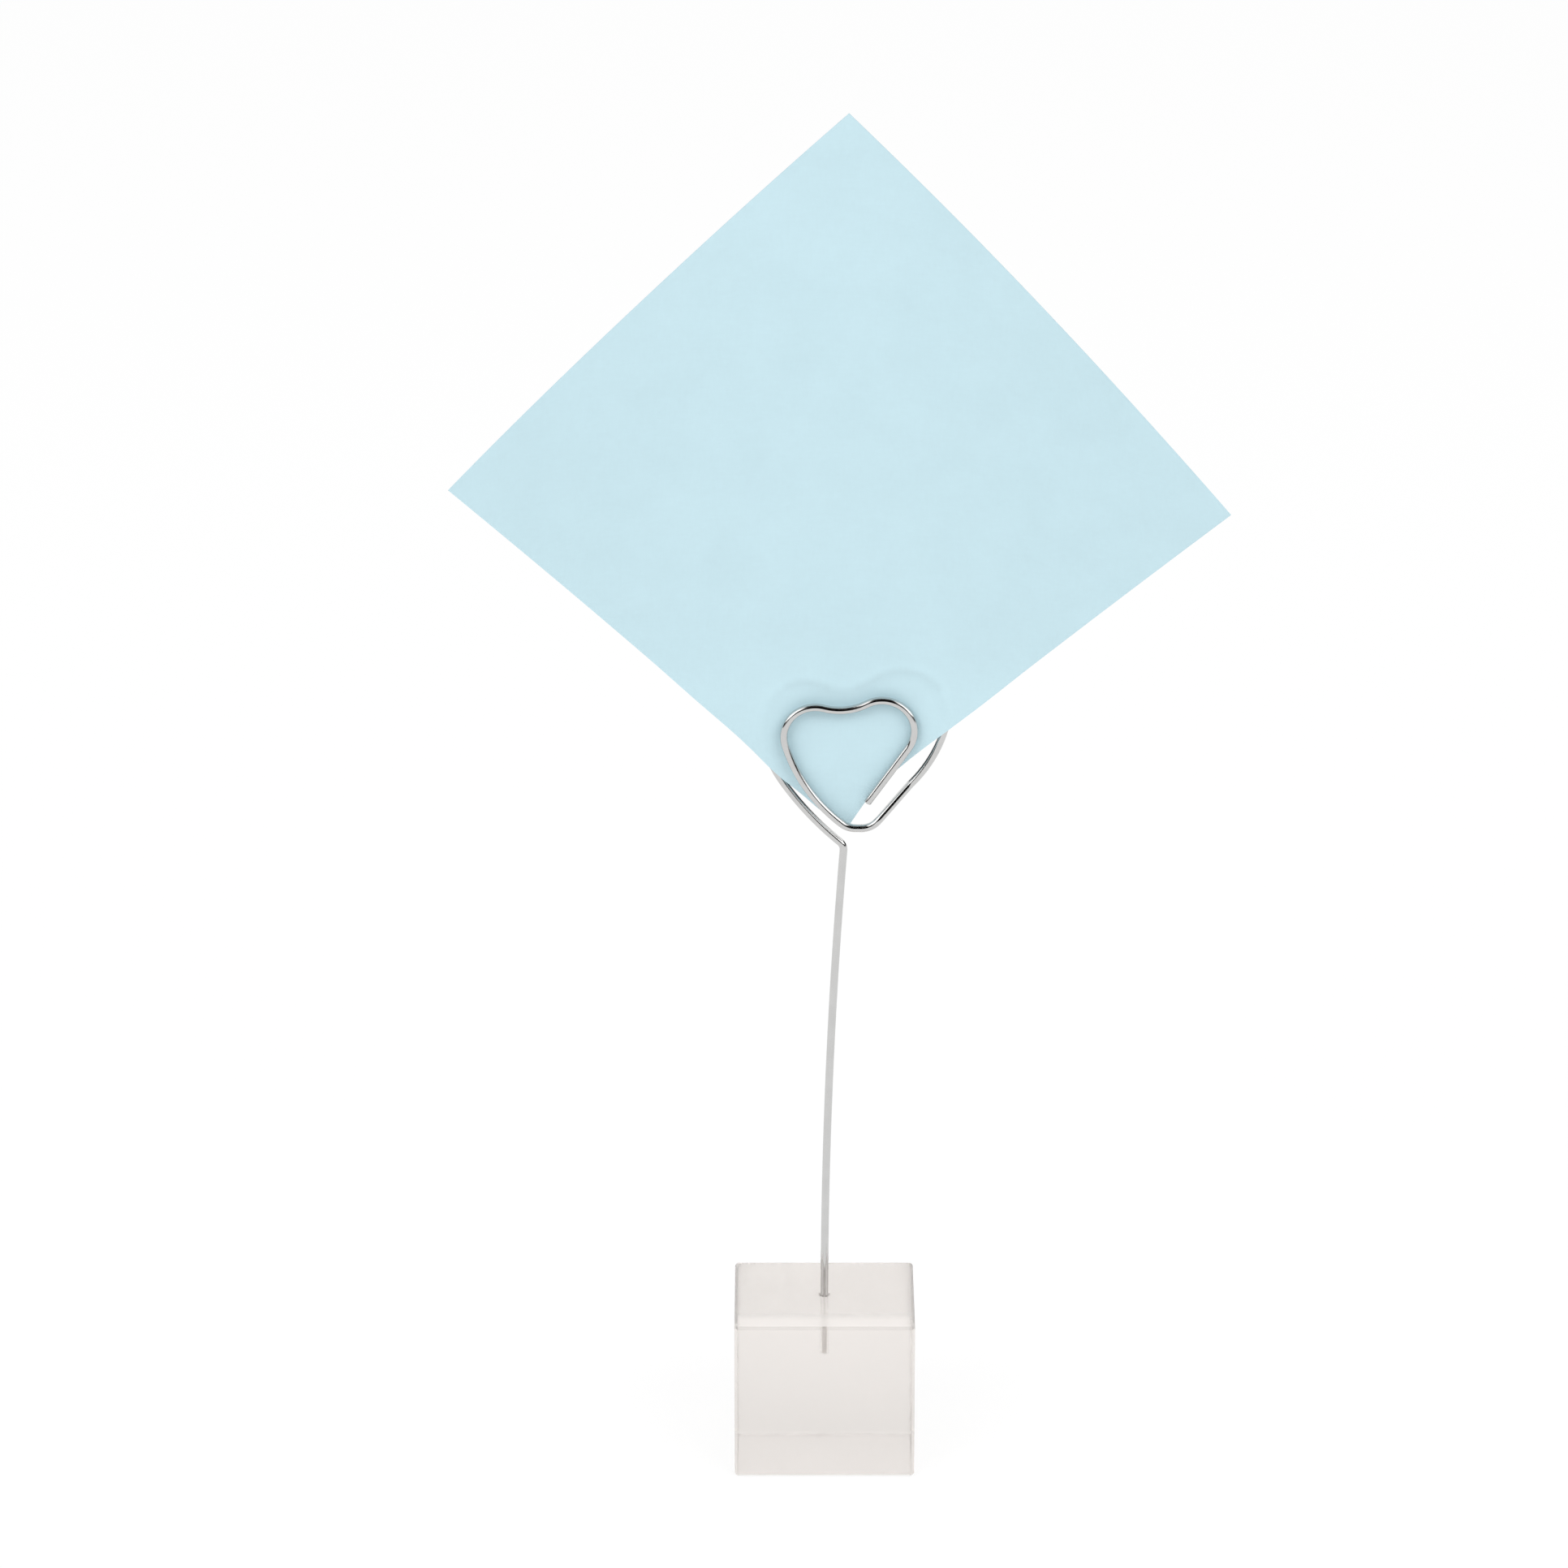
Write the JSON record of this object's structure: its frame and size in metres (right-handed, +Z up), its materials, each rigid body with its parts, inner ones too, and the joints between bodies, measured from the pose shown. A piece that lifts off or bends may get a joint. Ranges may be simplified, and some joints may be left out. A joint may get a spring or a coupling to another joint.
{
  "type": "memo clip holder",
  "caption": "Free-standing memo holder: a clear bevelled block, an upright wire coiled into a heart-shaped spring clip, and a square memo sheet gripped by its corner.",
  "frame": {"origin": "centre of the block's underside", "axes": "+Z up along the stem's socket, +X to the right and +Y away from the viewer, with the sheet's written side facing -Y"},
  "size_m": [0.1048, 0.0278, 0.2016],
  "materials": {
    "clear_plastic": "polished",
    "plated_wire": "polished",
    "blue_paper": "matte"
  },
  "bodies": {
    "base": {"base_block": "clear_plastic"},
    "clip": {"stem_wire": "plated_wire"},
    "tongue": {"clip_tongue": "plated_wire"},
    "sheet": {"memo_sheet": "blue_paper"}
  },
  "joints": [
    {"name": "stem_swivel", "type": "hinge", "parent": "base", "child": "clip", "pos_m": [0, 0, 0.0235], "axis": [0, 0, 1], "continuous": true},
    {"name": "clip_spring", "type": "hinge", "parent": "clip", "child": "tongue", "pos_m": [0.0045, -0.00208, 0.09605], "axis": [0.9994, -0.0349, 0], "range_deg": [0, 12], "stiffness_Nm_per_rad": 0.1},
    {"name": "sheet_slide", "type": "slide", "parent": "clip", "child": "sheet", "axis": [0, 0, 1], "range_m": [0, 0.03]}
  ]
}
